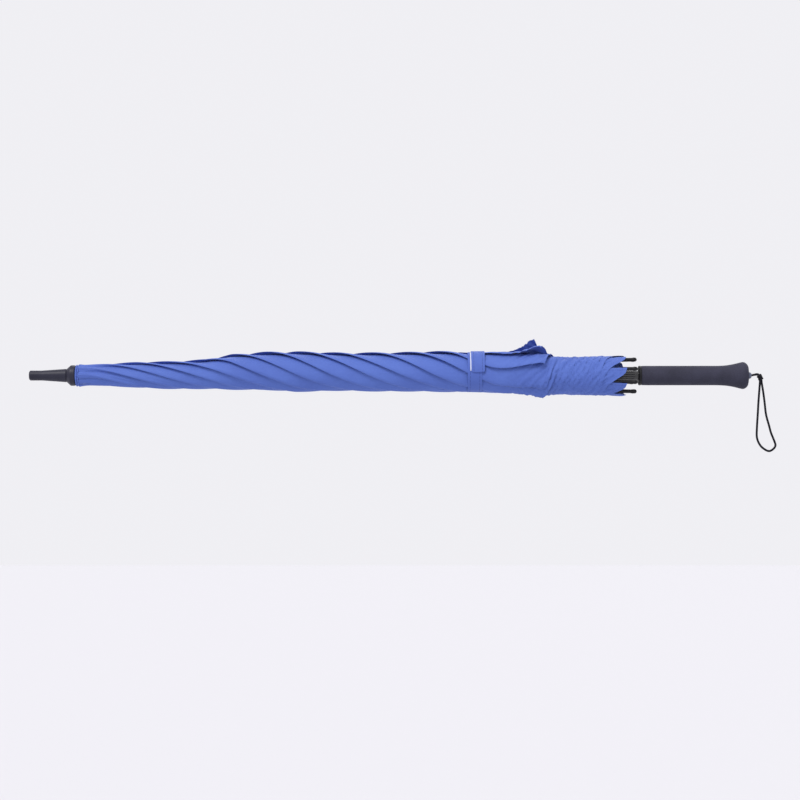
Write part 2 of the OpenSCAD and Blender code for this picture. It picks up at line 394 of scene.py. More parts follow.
@dataclass
class Surface:
    """A material under construction, with helpers that add nodes and feed its shader.

    Attributes:
        name: The material's name.
        material: The material.
        shader: Its Principled shader.
    """

    name: str
    material: bpy.types.Material = field(init=False)
    shader: bpy.types.Node = field(init=False)

    def __post_init__(self) -> None:
        """Makes the material with its Principled shader."""
        self.material = bpy.data.materials.new(self.name)
        self.material.use_nodes = True
        self.shader = self.material.node_tree.nodes["Principled BSDF"]

    def node(self, kind: str, **settings: object) -> bpy.types.Node:
        """Adds a node to the material and sets its properties.

        Args:
            kind: The node's type name.
            **settings: Properties to set on it.

        Returns:
            The new node.
        """
        made = self.material.node_tree.nodes.new(kind)
        for key, value in settings.items():
            setattr(made, key, value)
        return made

    def link(self, source: bpy.types.NodeSocket, target: bpy.types.NodeSocket) -> None:
        """Joins two sockets of the material."""
        self.material.node_tree.links.new(source, target)

    def group(
        self, tree: bpy.types.NodeTree, vector: bpy.types.NodeSocket, **values: float
    ) -> bpy.types.Node:
        """Places a shared group, fed by a vector and this material's own values.

        Args:
            tree: The group.
            vector: What its pattern follows.
            **values: Input values, with underscores for the spaces in their names.

        Returns:
            The group's node.
        """
        made = self.node("ShaderNodeGroup", node_tree=tree)
        self.link(vector, made.inputs["Vector"])
        for key, value in values.items():
            made.inputs[key.replace("_", " ")].default_value = value
        return made

    def object_place(self) -> bpy.types.NodeSocket:
        """The socket that gives a point's place on the piece."""
        return self.node("ShaderNodeTexCoord").outputs["Object"]

    def own_map(self, name: str) -> bpy.types.NodeSocket:
        """The socket that reads one of the piece's own maps."""
        return self.node("ShaderNodeUVMap", uv_map=name).outputs[0]

    def tint(
        self, mask: bpy.types.NodeSocket, first: Color, second: Color, low: float, high: float
    ) -> bpy.types.NodeSocket:
        """A colour that goes from one to another as a mask rises.

        Args:
            mask: The mask.
            first: The colour at low.
            second: The colour at high.
            low: Where the colour starts to change.
            high: Where it has changed.

        Returns:
            The colour's socket.
        """
        ramp = self.node("ShaderNodeValToRGB")
        ramp.color_ramp.elements[0].position = low
        ramp.color_ramp.elements[0].color = (*first, 1.0)
        ramp.color_ramp.elements[1].position = high
        ramp.color_ramp.elements[1].color = (*second, 1.0)
        self.link(mask, ramp.inputs[0])
        return ramp.outputs[0]

    def level(self, mask: bpy.types.NodeSocket, low: float, high: float) -> bpy.types.NodeSocket:
        """Moves a mask's range from 0 and 1 to two other values.

        Args:
            mask: The mask.
            low: The value for 0.
            high: The value for 1.

        Returns:
            The value's socket.
        """
        span = self.node("ShaderNodeMapRange")
        span.inputs["To Min"].default_value = low
        span.inputs["To Max"].default_value = high
        self.link(mask, span.inputs["Value"])
        return span.outputs[0]

    def bump(
        self, height: bpy.types.NodeSocket, strength: float, distance: float,
        below: bpy.types.NodeSocket | None = None,
    ) -> bpy.types.NodeSocket:
        """Adds relief from a height.

        Args:
            height: The height to read.
            strength: How much of it shows, from 0 to 1.
            distance: The height of a full step, in metres.
            below: A normal that this relief lies on, if any.

        Returns:
            The new normal.
        """
        made = self.node("ShaderNodeBump")
        made.inputs["Strength"].default_value = strength
        made.inputs["Distance"].default_value = distance
        self.link(height, made.inputs["Height"])
        if below is not None:
            self.link(below, made.inputs["Normal"])
        return made.outputs[0]

    def set(self, **values: object) -> None:
        """Sets constants on the shader's own sockets, with underscores for spaces."""
        for key, value in values.items():
            self.shader.inputs[key.replace("_", " ")].default_value = value


@dataclass(frozen=True)
class ClothFinish:
    """Fine woven cloth with a soft sheen and sewn edges.

    Attributes:
        name: The material's name.
        deep: The darker of its two tones.
        light: The lighter one.
        thread: The stitches' colour.
        sheen: How strong the sheen is.
        roughness: Its middle roughness.
        crease: How much of the fine creases shows.
        threads: Threads in a metre.
        seam_row: How far from a seam the stitches run.
        hem_row: How far from the hem they run.
        stitch: A stitch's length with the gap after it, and half its width.
    """

    name: str
    deep: Color
    light: Color
    thread: Color
    sheen: float = 0.12
    roughness: float = 0.66
    crease: float = 0.35
    threads: float = 2600.0
    seam_row: float = 0.0035
    hem_row: float = 0.006
    stitch: tuple[float, float] = (0.0024, 0.00022)

    def build(self, effects: SharedEffects) -> bpy.types.Material:
        """Makes the material.

        Args:
            effects: The shared node groups.

        Returns:
            The material.
        """
        made = Surface(self.name)
        weave_map = made.own_map("weave")
        seam_map = made.own_map("seam")
        hem_map = made.own_map("hem")
        place = made.object_place()
        tone = made.group(effects.mottle, place, Scale=26.0, Fine_scale=240.0)
        colour = made.tint(tone.outputs["Tone"], self.deep, self.light, 0.34, 0.66)
        stitched = made.node("ShaderNodeMix", data_type="RGBA")
        rows = made.node("ShaderNodeMath", operation="MAXIMUM")
        length, half_width = self.stitch
        for slot, source, far in ((0, seam_map, self.seam_row), (1, hem_map, self.hem_row)):
            row = made.group(effects.stitches, source, Distance=far, Width=half_width,
                             Length=length)
            made.link(row.outputs["Mask"], rows.inputs[slot])
        made.link(rows.outputs[0], stitched.inputs[0])
        made.link(colour, stitched.inputs[6])
        stitched.inputs[7].default_value = (*self.thread, 1.0)
        made.link(stitched.outputs[2], made.shader.inputs["Base Color"])
        weave = made.group(effects.weave, weave_map, Threads_per_metre=self.threads)
        creases = made.node("ShaderNodeTexNoise")
        creases.inputs["Scale"].default_value = 55.0
        creases.inputs["Detail"].default_value = 4.0
        creases.inputs["Distortion"].default_value = 0.6
        stretch = made.node("ShaderNodeMapping")
        stretch.inputs["Scale"].default_value = (0.35, 1.6, 1.0)
        made.link(weave_map, stretch.inputs["Vector"])
        made.link(stretch.outputs[0], creases.inputs["Vector"])
        folds = made.bump(creases.outputs["Fac"], self.crease, 0.003)
        relief = made.bump(weave.outputs["Height"], 0.35, 0.00012, folds)
        sewn = made.bump(rows.outputs[0], 0.5, 0.0004, relief)
        made.link(sewn, made.shader.inputs["Normal"])
        made.link(made.level(tone.outputs["Tone"], self.roughness - 0.08, self.roughness + 0.1),
                  made.shader.inputs["Roughness"])
        made.set(Sheen_Weight=self.sheen, Sheen_Roughness=0.4, Specular_IOR_Level=0.22,
                 Sheen_Tint=(0.72, 0.8, 1.0, 1.0))
        return made.material


@dataclass(frozen=True)
class MouldedFinish:
    """Moulded plastic or foam, with fine texture and a rubbed tone.

    Attributes:
        name: The material's name.
        colour: Its own tone.
        worn: The tone where it is rubbed.
        roughness: Its middle roughness.
        pore_scale: How many pores there are in a metre.
        pore_depth: Their depth.
        specular: How strongly it shines.
    """

    name: str
    colour: Color
    worn: Color
    roughness: float
    pore_scale: float
    pore_depth: float
    specular: float = 0.5

    def build(self, effects: SharedEffects) -> bpy.types.Material:
        """Makes the material.

        Args:
            effects: The shared node groups.

        Returns:
            The material.
        """
        made = Surface(self.name)
        place = made.object_place()
        tone = made.group(effects.mottle, place, Scale=45.0, Fine_scale=600.0)
        colour = made.tint(tone.outputs["Tone"], self.colour, self.worn, 0.38, 0.72)
        made.link(colour, made.shader.inputs["Base Color"])
        scuffs = made.group(effects.scuffs, place, Scale=120.0)
        made.link(made.level(scuffs.outputs["Mask"], self.roughness - 0.09, self.roughness + 0.12),
                  made.shader.inputs["Roughness"])
        pores = made.group(effects.pores, place, Scale=self.pore_scale)
        made.link(made.bump(pores.outputs["Height"], 0.45, self.pore_depth),
                  made.shader.inputs["Normal"])
        made.set(Specular_IOR_Level=self.specular)
        return made.material


@dataclass(frozen=True)
class EnamelFinish:
    """Gloss enamel under a clear coat, for the tube and the pultruded ribs.

    Attributes:
        name: The material's name.
        colour: Its own tone.
        worn: The tone where it is rubbed.
        roughness: Its middle roughness.
        coat: How strong the clear coat is.
    """

    name: str
    colour: Color
    worn: Color
    roughness: float
    coat: float

    def build(self, effects: SharedEffects) -> bpy.types.Material:
        """Makes the material.

        Args:
            effects: The shared node groups.

        Returns:
            The material.
        """
        made = Surface(self.name)
        place = made.object_place()
        scuffs = made.group(effects.scuffs, place, Scale=160.0)
        colour = made.tint(scuffs.outputs["Mask"], self.colour, self.worn, 0.5, 0.8)
        made.link(colour, made.shader.inputs["Base Color"])
        made.link(made.level(scuffs.outputs["Mask"], self.roughness - 0.06, self.roughness + 0.14),
                  made.shader.inputs["Roughness"])
        made.link(made.bump(scuffs.outputs["Mask"], 0.15, 0.00004),
                  made.shader.inputs["Normal"])
        made.set(Coat_Weight=self.coat, Coat_Roughness=0.08)
        return made.material


@dataclass(frozen=True)
class SteelFinish:
    """Zinc-plated steel wire and strip, with drawing marks along its length.

    Attributes:
        name: The material's name.
        bright: The tone of its bright places.
        dull: The tone of its dull ones.
    """

    name: str
    bright: Color
    dull: Color

    def build(self, effects: SharedEffects) -> bpy.types.Material:
        """Makes the material.

        Args:
            effects: The shared node groups.

        Returns:
            The material.
        """
        made = Surface(self.name)
        place = made.object_place()
        scuffs = made.group(effects.scuffs, place, Scale=420.0)
        colour = made.tint(scuffs.outputs["Mask"], self.dull, self.bright, 0.35, 0.65)
        made.link(colour, made.shader.inputs["Base Color"])
        made.link(made.level(scuffs.outputs["Mask"], 0.24, 0.46), made.shader.inputs["Roughness"])
        made.link(made.bump(scuffs.outputs["Mask"], 0.25, 0.00005), made.shader.inputs["Normal"])
        made.set(Metallic=1.0)
        return made.material


@dataclass(frozen=True)
class BraidFinish:
    """Braided cord: two sets of strands that cross over and under.

    Attributes:
        name: The material's name.
        deep: The tone between the strands, a painted shade in the hollows of the braid.
        light: The tone on top of them, lighter than the painted shade between them.
        strands: Strands round the cord.
        per_metre: Strands along a metre of it.
    """

    name: str
    deep: Color
    light: Color
    strands: float = 16.0
    per_metre: float = 420.0

    def build(self, effects: SharedEffects) -> bpy.types.Material:
        """Makes the material.

        Args:
            effects: The shared node groups.

        Returns:
            The material.
        """
        made = Surface(self.name)
        counted = made.node("ShaderNodeMapping")
        counted.inputs["Scale"].default_value = (self.per_metre, self.strands, 1.0)
        made.link(made.own_map("braid"), counted.inputs["Vector"])
        split = made.node("ShaderNodeSeparateXYZ")
        made.link(counted.outputs[0], split.inputs[0])
        waves = []
        for operation in ("ADD", "SUBTRACT"):
            run = made.node("ShaderNodeMath", operation=operation)
            made.link(split.outputs[0], run.inputs[0])
            made.link(split.outputs[1], run.inputs[1])
            turn = made.node("ShaderNodeMath", operation="MULTIPLY")
            turn.inputs[1].default_value = math.pi
            made.link(run.outputs[0], turn.inputs[0])
            wave = made.node("ShaderNodeMath", operation="SINE")
            made.link(turn.outputs[0], wave.inputs[0])
            waves.append(wave.outputs[0])
        cross = made.node("ShaderNodeMath", operation="MULTIPLY")
        for slot, wave in zip(cross.inputs, waves):
            made.link(wave, slot)
        height = made.level(cross.outputs[0], 0.5, 1.0)
        # Painted shade: the colour follows the braid's height, darker in the hollows between the
        # strands and lighter on their crests.
        made.link(made.tint(height, self.deep, self.light, 0.2, 0.95),
                  made.shader.inputs["Base Color"])
        fuzz = made.group(effects.mottle, made.object_place(), Scale=300.0, Fine_scale=1800.0)
        made.link(made.level(fuzz.outputs["Tone"], 0.6, 0.95), made.shader.inputs["Roughness"])
        made.link(made.bump(height, 0.7, 0.00035), made.shader.inputs["Normal"])
        made.set(Specular_IOR_Level=0.2)
        return made.material


@dataclass
class Finishes:
    """Every material of the umbrella, by the record's slot name.

    Attributes:
        effects: The shared node groups.
        by_slot: The materials by slot.
        lining: The pale cloth of the strap's bound edge, which has no slot of its own.
    """

    effects: SharedEffects
    by_slot: dict[str, bpy.types.Material] = field(init=False)
    lining: bpy.types.Material = field(init=False)

    def __post_init__(self) -> None:
        """Builds them all."""
        kinds = {
            "canopy_cloth": ClothFinish("canopy_cloth", (0.082, 0.140, 0.475), (0.095, 0.162, 0.52),
                                        (0.062, 0.1, 0.38)),
            "strap_cloth": ClothFinish("strap_cloth", (0.076, 0.130, 0.45), (0.087, 0.148, 0.49),
                                       (0.03, 0.05, 0.2), sheen=0.1, crease=0.12),
            # The braid's two tones are painted shade in the hollows between its strands and the
            # lighter tone of their crests.
            "cord_braid": BraidFinish("cord_braid", (0.002, 0.002, 0.004), (0.011, 0.011, 0.018)),
            "foam_grip": MouldedFinish("foam_grip", (0.026, 0.026, 0.044), (0.040, 0.040, 0.068),
                                       0.72, 1400.0, 0.0003, 0.25),
            "navy_plastic": MouldedFinish("navy_plastic", (0.012, 0.012, 0.026),
                                          (0.022, 0.022, 0.042), 0.42, 2600.0, 0.00006, 0.32),
            "black_plastic": MouldedFinish("black_plastic", (0.004, 0.004, 0.006),
                                           (0.010, 0.010, 0.013), 0.4, 2600.0, 0.00005, 0.25),
            "joint_nylon": MouldedFinish("joint_nylon", (0.012, 0.012, 0.015),
                                         (0.028, 0.028, 0.032), 0.5, 2000.0, 0.00006, 0.3),
            "plug_plastic": MouldedFinish("plug_plastic", (0.07, 0.085, 0.14),
                                          (0.12, 0.14, 0.21), 0.45, 2200.0, 0.00005),
            "rib_glassfibre": EnamelFinish("rib_glassfibre", (0.006, 0.006, 0.008),
                                           (0.018, 0.018, 0.021), 0.36, 0.15),
            "black_shaft": EnamelFinish("black_shaft", (0.005, 0.005, 0.007),
                                        (0.013, 0.013, 0.016), 0.2, 0.6),
            "steel": SteelFinish("steel", (0.62, 0.62, 0.64), (0.4, 0.4, 0.43)),
        }
        self.by_slot = {name: kind.build(self.effects) for name, kind in kinds.items()}
        pale = ClothFinish("strap_lining", (0.5, 0.53, 0.68), (0.6, 0.63, 0.78),
                           (0.4, 0.45, 0.6), sheen=0.0, crease=0.1)
        self.lining = pale.build(self.effects)

    def dress(self, piece: bpy.types.Object, slot: str) -> None:
        """Gives a new piece the finish of a slot.

        Args:
            piece: The piece.
            slot: The slot's name.
        """
        piece.data.materials.clear()
        piece.data.materials.append(self.by_slot[slot])

    def dress_frame(self, frame: dict) -> None:
        """Gives every node of the frame the finish that its slot names.
        """
        for solid in frame["record"]["subparts"]:
            node = frame["nodes"][solid["node"]]
            material = self.by_slot[solid["material_slot"]]
            if not node.material_slots:
                node.data.materials.append(material)
            for slot in node.material_slots:
                slot.material = material


# ---------------------------------------------------------------------------------------------
# The frame's measures
# ---------------------------------------------------------------------------------------------


@dataclass
class Linkage:
    """What the looks need to know of the frame's hinges.

    Attributes:
        furled_tilt: A furled rib's tilt away from the shaft.
        hinges: The ribs' hinges at the crown.
        angles: The hinges' angles round the shaft.
        opening: How far the ribs swing out.
        spread: How far a gore's own body turns from its rib's.
        fan_axes: The axes about which the gores' own bodies turn.
        crown_x: The hinges' place along the shaft.
    """

    frame: dict
    furled_tilt: float = math.radians(1.05)
    hinges: list[Vector] = field(init=False)
    angles: list[float] = field(init=False)
    opening: float = field(init=False)
    spread: float = field(init=False)
    fan_axes: list[Vector] = field(init=False)
    crown_x: float = field(init=False)

    def __post_init__(self) -> None:
        """Reads the joints."""
        joints = {j["name"]: j for j in self.frame["joints"]}
        names = ["umbrella_open"] + [f"rib_{k}_swing" for k in range(2, GORES + 1)]
        self.hinges = [Vector(joints[name]["pos_m"]) for name in names]
        self.angles = [math.atan2(p.z, p.y) for p in self.hinges]
        self.opening = math.radians(joints["umbrella_open"]["range_deg"][1])
        self.spread = math.radians(joints["gore_1_spread"]["range_deg"][1])
        self.fan_axes = [
            Vector(joints[f"gore_{k}_spread"]["axis"]).normalized() for k in range(1, GORES + 1)
        ]
        self.crown_x = self.hinges[0].x

    def along(self, rib: int, tilt: float) -> Vector:
        """The direction of a rib that leans out by tilt."""
        return Vector((math.cos(tilt), 0, 0)) + math.sin(tilt) * radial(self.angles[rib % GORES])

    def above(self, rib: int, tilt: float) -> Vector:
        """The direction out of the canopy at a rib that leans out by tilt."""
        return Vector((-math.sin(tilt), 0, 0)) + math.cos(tilt) * radial(self.angles[rib % GORES])


# ---------------------------------------------------------------------------------------------
# Mesh helpers
# ---------------------------------------------------------------------------------------------


def new_object(name: str, mesh: bpy.types.Mesh) -> bpy.types.Object:
    """Links a mesh to the scene as a smooth-shaded piece.

    Args:
        name: The piece's name.
        mesh: Its mesh.

    Returns:
        The piece.
    """
    made = bpy.data.objects.new(name, mesh)
    bpy.context.scene.collection.objects.link(made)
    mesh.shade_smooth()
    return made


def write_map(mesh: bpy.types.Mesh, name: str, values: np.ndarray) -> None:
    """Writes a map of two numbers for each vertex of a mesh.

    Args:
        mesh: The mesh.
        name: The map's name.
        values: One row of two numbers for each vertex.
    """
    layer = mesh.uv_layers.new(name=name)
    corners = np.zeros(len(mesh.loops), dtype=np.int32)
    mesh.loops.foreach_get("vertex_index", corners)
    layer.data.foreach_set("uv", values[corners].astype(np.float32).ravel())


def flowing(route: tuple[tuple[float, float, float], ...], fine: int) -> list[Vector]:
    """A smooth line through points.

    Args:
        route: The points.
        fine: Steps between two points.

    Returns:
        The line's points.
    """
    points = [Vector(p) for p in route]
    line = []
    for index in range(len(points) - 1):
        before = points[max(index - 1, 0)]
        start, end = points[index], points[index + 1]
        after = points[min(index + 2, len(points) - 1)]
        for step in range(fine):
            t = step / fine
            line.append(0.5 * (
                2 * start + (end - before) * t
                + (2 * before - 5 * start + 4 * end - after) * t * t
                + (3 * start - before - 3 * end + after) * t ** 3))
    line.append(points[-1])
    return line


def close_round(piece: bpy.types.Object) -> None:
    """Joins the two ends of a ring of cloth or foam and turns its faces outward.

    Args:
        piece: The ring.
    """
    shape = bmesh.new()
    shape.from_mesh(piece.data)
    bmesh.ops.remove_doubles(shape, verts=shape.verts, dist=0.01 * MM)
    bmesh.ops.recalc_face_normals(shape, faces=shape.faces)
    shape.to_mesh(piece.data)
    shape.free()


# A vertex's point, its place on the cloth, its distance from the seam and run along it, and its
# distance from the hem and run along it.
Placed = tuple[Vector, tuple[float, float], tuple[float, float], tuple[float, float]]


def cloth_grid(
    name: str, across: int, along: int, place: Callable[[float, float], Placed]
) -> bpy.types.Object:
    """Makes a sheet from a grid, each vertex put in its place by a rule.

    Args:
        name: The piece's name.
        across: Steps across the sheet.
        along: Steps along it.
        place: Takes two shares from 0 to 1 and gives the point and its weave, seam and hem maps.

    Returns:
        The piece.
    """
    shape = bmesh.new()
    bmesh.ops.create_grid(shape, x_segments=across, y_segments=along, size=0.5)
    maps = []
    for vertex in shape.verts:
        point, weave, seam, hem = place(vertex.co.x + 0.5, vertex.co.y + 0.5)
        vertex.co = point
        maps.append((weave, seam, hem))
    mesh = bpy.data.meshes.new(name)
    shape.to_mesh(mesh)
    shape.free()
    values = np.array(maps, dtype=float)
    for index, title in enumerate(("weave", "seam", "hem")):
        write_map(mesh, title, values[:, index])
    return new_object(name, mesh)


# ---------------------------------------------------------------------------------------------
# The gore's flat cut
# ---------------------------------------------------------------------------------------------


@dataclass(frozen=True)
class GoreCut:
    """One gore as it is cut and sewn: a narrow triangle with a hollowed hem.

    Attributes:
        rib_edge: Length of the sides that are sewn along the ribs.
        half_angle: Half the angle at the crown.
        scallop: How far the hem is hollowed at its middle.
        start: Distance from the apex at which the cloth starts.
    """

    rib_edge: float = 0.749
    half_angle: float = math.radians(20.47)
    scallop: float = 0.016
    start: float = 0.006

    def hem(self, share: float) -> tuple[float, float]:
        """A point on the hem of the folded half, 0 at the rib's side and 1 at the fold.

        Args:
            share: The place along the hem.

        Returns:
            The distances along and away from the rib's side.
        """
        foot = self.rib_edge * math.cos(self.half_angle)
        hollow = self.scallop * (1 - (1 - share) ** 2)
        along = (1 - share) * self.rib_edge + (share * foot - hollow) * math.cos(self.half_angle)
        away = (share * foot - hollow * share) * math.sin(self.half_angle)
        return along, away

    def fold_end(self) -> float:
        """How far along the rib's side the folded edge ends."""
        return self.hem(1.0)[0]

    def area(self) -> float:
        """The flat area of the whole gore.

        Returns:
            The area.
        """
        half = self.half_angle
        chord = 2 * self.rib_edge * math.sin(half)
        height = self.rib_edge * math.cos(half)
        return chord * height / 2 - chord * self.scallop * 2 / 3

    def size(self) -> tuple[float, float]:
        """The width and length of the rectangle that the gore is cut from."""
        half = self.half_angle
        return 2 * self.rib_edge * math.sin(half), self.rib_edge * math.cos(half)


# ---------------------------------------------------------------------------------------------
# Furled canopy
# ---------------------------------------------------------------------------------------------


@dataclass
class FurledCanopy:
    """Eight gores, each folded in half and wound round the ribs, one flap lying on the next.

    A place along the ribs is a distance from their hinges. A place on a flap is also counted in
    steps in from its folded edge, one step for each flap that lies over it.

    Attributes:
        links: The frame's measures.
        cut: The gores' flat shape.
        finishes: The materials.
        grid: How many faces each gore has across and along.
        twist: How fast the folded edges wind round, in radians per metre.
        wobble: How far a flap strays from an even winding.
        wind_from: Where the winding starts.
        slack_from: Where the cloth beyond the strap starts to hang loose instead of winding on.
        slack_over: The length over which it does so.
        slack_to: Where the loose corners have unwound fully.
        loosened: How far each gore's loose corner has unwound, in degrees.
        sprung: How far each gore's loose corner stands off, in millimetres.
        step: The thickness that the outermost flap adds.
        layer: The thickness of each flap beneath it.
        crown_ease: Where the folds have come to their full depth.
        settled: Where the layers start to close up towards the hem, and where they have done so.
        edge_least: How far a folded edge stands off everywhere.
        edge_upper: How much more it does on the upper side.
        edge_uneven: How much that varies.
        bead: Height of the soft bead along a folded edge.
        roll: How far the edge itself rolls in.
        fold_gap: How far the underside of a flap tucks in behind the edge.
        cloth_gap: The gap between the two halves of a flap.
        soft_height: Height of the slow swells that follow the winding.
        gather_height: Height of the gathers at the crown.
        crease_height: Height of the wrinkles in the loose cloth.
        crease_slant: How fast those wrinkles lean round, in radians per metre.
        wrinkled: Where those wrinkles start, and where they are full.
        taut: Where the cloth starts to be stretched over the rib tips, and where it is.
        taut_rise: How far it lies off the tips.
        tied_at: Where the strap ties the bundle.
        pinch: How far the strap draws it in.
        pinch_over: How far along the ribs the strap draws it in.
        swell_at: Where it swells beyond the strap.
        swell: How far it does.
        swell_over: How far along the ribs it does.
        crown_tuck: How far the cloth's start is drawn up over the crown.
        crown_tuck_over: The length over which it is.
        ruffle: How far the cloth's start flares out, and how much that varies.
        ruffle_over: The length over which it does.
        corner: How far a loose corner's slanting crease is from its point, along and across.
        corner_curve: How the lift grows from that crease. An even bend has 1.
        lobe_reach: How far the hem is drawn towards the handle at a rib.
        lobe_round: How much more beside the rib, which rounds the lobe.
        lobe_side: How far from the rib that is, and how far it spreads.
        lobe_hollow: How far it is drawn back between the ribs.
        lobe_fade: How far from the rib that starts, and the distance over which it fades.
        gathered_at: Not used.
        gathered_keep: Not used.
        top: How far the bundle reaches above the shaft's axis, along the ribs.
        below: How far it reaches below the axis.
    """

    links: Linkage
    cut: GoreCut
    finishes: Finishes
    grid: tuple[int, int] = (168, 232)
    twist: float = math.radians(940)
    wobble: float = math.radians(5)
    wind_from: float = 0.012
    slack_from: float = 0.560
    slack_over: float = 0.018
    slack_to: float = 0.640
    loosened: tuple[float, ...] = (0, 0, 0, 0, 0, 0, 12, 18)
    sprung: tuple[float, ...] = (2.5, 6, 3, 3, 8, 23, 13, 5.5)
    step: float = 2.7 * MM
    layer: float = 0.3 * MM
    crown_ease: float = 0.160
    settled: tuple[float, float] = (0.636, 0.660)
    edge_least: float = 0.2 * MM
    edge_upper: float = 1.7 * MM
    edge_uneven: float = 1.2 * MM
    bead: float = 0.35 * MM
    roll: float = 0.4 * MM
    fold_gap: float = 0.9 * MM
    cloth_gap: float = 0.15 * MM
    soft_height: float = 0.4 * MM
    gather_height: float = 1.3 * MM
    crease_height: float = 2.5 * MM
    crease_slant: float = 40.0
    wrinkled: tuple[float, float] = (0.550, 0.650)
    taut: tuple[float, float] = (0.722, 0.745)
    taut_rise: float = 0.9 * MM
    tied_at: float = 0.5445
    pinch: float = 1.4 * MM
    pinch_over: float = 0.016
    swell_at: float = 0.5835
    swell: float = 0.8 * MM
    swell_over: float = 0.020
    crown_tuck: float = 10.4 * MM
    crown_tuck_over: float = 0.020
    ruffle: tuple[float, float] = (0.7 * MM, 0.9 * MM)
    ruffle_over: float = 3.5 * MM
    corner: tuple[float, float] = (0.078, 0.055)
    corner_curve: float = 1.4
    lobe_reach: float = 4 * MM
    lobe_round: float = 2.5 * MM
    lobe_side: tuple[float, float] = (0.009, 0.006)
    lobe_hollow: float = 17 * MM
    lobe_fade: tuple[float, float] = (0.020, 0.150)
    gathered_at: float = 17 * MM
    gathered_keep: float = 0.004
    top: tuple[tuple[float, float], ...] = (
        (0.0, 0.0140), (0.012, 0.0139), (0.078, 0.0176), (0.134, 0.0187), (0.170, 0.0212),
        (0.206, 0.0285), (0.250, 0.0307), (0.294, 0.0320), (0.343, 0.0308), (0.400, 0.0306),
        (0.495, 0.0326), (0.545, 0.0332), (0.600, 0.0328), (0.632, 0.0318), (0.646, 0.0282),
        (0.658, 0.0260), (0.700, 0.0261), (0.750, 0.0270))
    below: tuple[tuple[float, float], ...] = (
        (0.0, 0.0140), (0.012, 0.0139), (0.078, 0.0172), (0.134, 0.0188), (0.176, 0.0188),
        (0.210, 0.0197), (0.250, 0.0200), (0.294, 0.0228), (0.343, 0.0213), (0.400, 0.0216),
        (0.495, 0.0228), (0.545, 0.0240), (0.600, 0.0252), (0.645, 0.0262), (0.700, 0.0268),
        (0.750, 0.0278))

    def turn(self, gore: int, along: float) -> float:
        """The angle from a gore's first rib to its folded edge.

        Args:
            gore: The gore's number, from 0.
            along: Distance along the ribs.

        Returns:
            The angle.
        """
        over = max(0.0, along - self.slack_from)
        wound = min(along, self.slack_from)
        wound += self.slack_over * (1 - math.exp(-over / self.slack_over))
        loose = math.radians(self.loosened[gore]) * smooth(along, self.slack_from, self.slack_to)
        return PITCH / 2 + self.twist * max(0.0, wound - self.wind_from) - loose

    def outline(self, along: float, angle: float) -> float:
        """The bundle's outer radius at a place, pinched where the strap ties it.

        Args:
            along: Distance along the ribs.
            angle: Angle round the shaft.

        Returns:
            The radius.
        """
        top, below = along_table(along, self.top), along_table(along, self.below)
        radius = (top + below) / 2 + (top - below) / 2 * math.sin(angle)
        radius -= self.pinch * hump(along, self.tied_at, self.pinch_over)
        return radius + self.swell * hump(along, self.swell_at, self.swell_over)

    def edge_share(self, along: float) -> float:
        """How much of the half gore's width is left where the hem has cut across it.

        Args:
            along: Distance along the ribs.

        Returns:
            A number from 0 to 1.
        """
        if along <= self.cut.fold_end():
            return 1.0
        low, high = 0.0, 1.0
        for _ in range(14):
            middle = (low + high) / 2
            if self.cut.hem(middle)[0] > along:
                low = middle
            else:
                high = middle
        return self.cut.hem(low)[1] / (along * math.tan(self.cut.half_angle))

    def corner_lift(self, gore: int, along: float, away: float) -> float:
        """How far the loose corner of a flap springs away, bent up along a slanting crease."""
        end, side = self.cut.hem(1.0)
        near = 1 - abs(end - along) / self.corner[0] - abs(side - away) / self.corner[1]
        return self.sprung[gore] * MM * max(0.0, near) ** self.corner_curve

    def relief(self, along: float, angle: float) -> float:
        """The wrinkles of the bundle, which every layer shares so that the flaps stay nested.

        Args:
            along: Distance along the ribs.
            angle: Angle round the shaft.

        Returns:
            The change of radius.
        """
        lay = angle - self.twist * along
        slant = angle + self.crease_slant * along
        near_crown = math.exp(-along / 0.07)
        loose = smooth(along, *self.wrinkled)
        soft = ring_noise(lay, 2.6, along * 7)
        gather = ring_noise(lay, 5.5, along * 16 + 4)
        drag = ring_noise(slant, 3.9, along * 18)
        fine = ring_noise(slant, 8, along * 26 + 7)
        crease = min(1.0, math.sqrt(25 * drag * drag + 0.015)) - 0.75 + 0.4 * fine
        height = self.soft_height * soft * (1 - loose) + self.gather_height * gather * near_crown
        return height + self.crease_height * crease * loose

    def flat_place(self, across: float, down: float) -> tuple[float, float, float]:
        """Finds a vertex on the flat gore, folded in half.

        Args:
            across: From 0 at its first rib, over the fold at a half, to 1 at its second rib.
            down: From 0 at the crown to 1 at the hem.

        Returns:
            The distances along the rib's side, away from it and up from the hem.
        """
        hem_along, hem_away = self.cut.hem(1 - abs(2 * across - 1) ** 1.3)
        scale = self.cut.start / self.cut.rib_edge
        scale += (1 - scale) * down ** 0.88
        return hem_along * scale, hem_away * scale, self.cut.rib_edge * (1 - scale)

    def wound_angle(self, gore: int, half: Half, along: float, part: float) -> float:
        """The angle round the shaft of a place on a wound flap.

        Args:
            gore: The gore's number, from 0.
            half: The half of the flap.
            along: Distance along the ribs.
            part: From 0 at the rib to 1 at the full width of the half gore.

        Returns:
            The angle.
        """
        turn = self.turn(gore, along)
        stray = self.wobble * noise.noise(Vector((along * 9, gore * 7.1, 0.0)))
        stray *= smooth(along, 0.05, 0.25) * part
        if half is Half.OUTER:
            return self.links.angles[gore] + turn * part + stray
        return self.links.angles[gore] + PITCH + (turn - PITCH) * part + stray

    def flap_depth(self, along: float, steps: float) -> float:
        """How deep a place on a flap lies under the bundle's outline."""
        ease = smooth(along, 0.0, self.crown_ease)
        step = self.step * (0.85 + 0.15 * ease) * (1 - 0.86 * smooth(along, *self.settled))
        return step * smooth(steps) + self.layer * max(0.0, steps - 1)

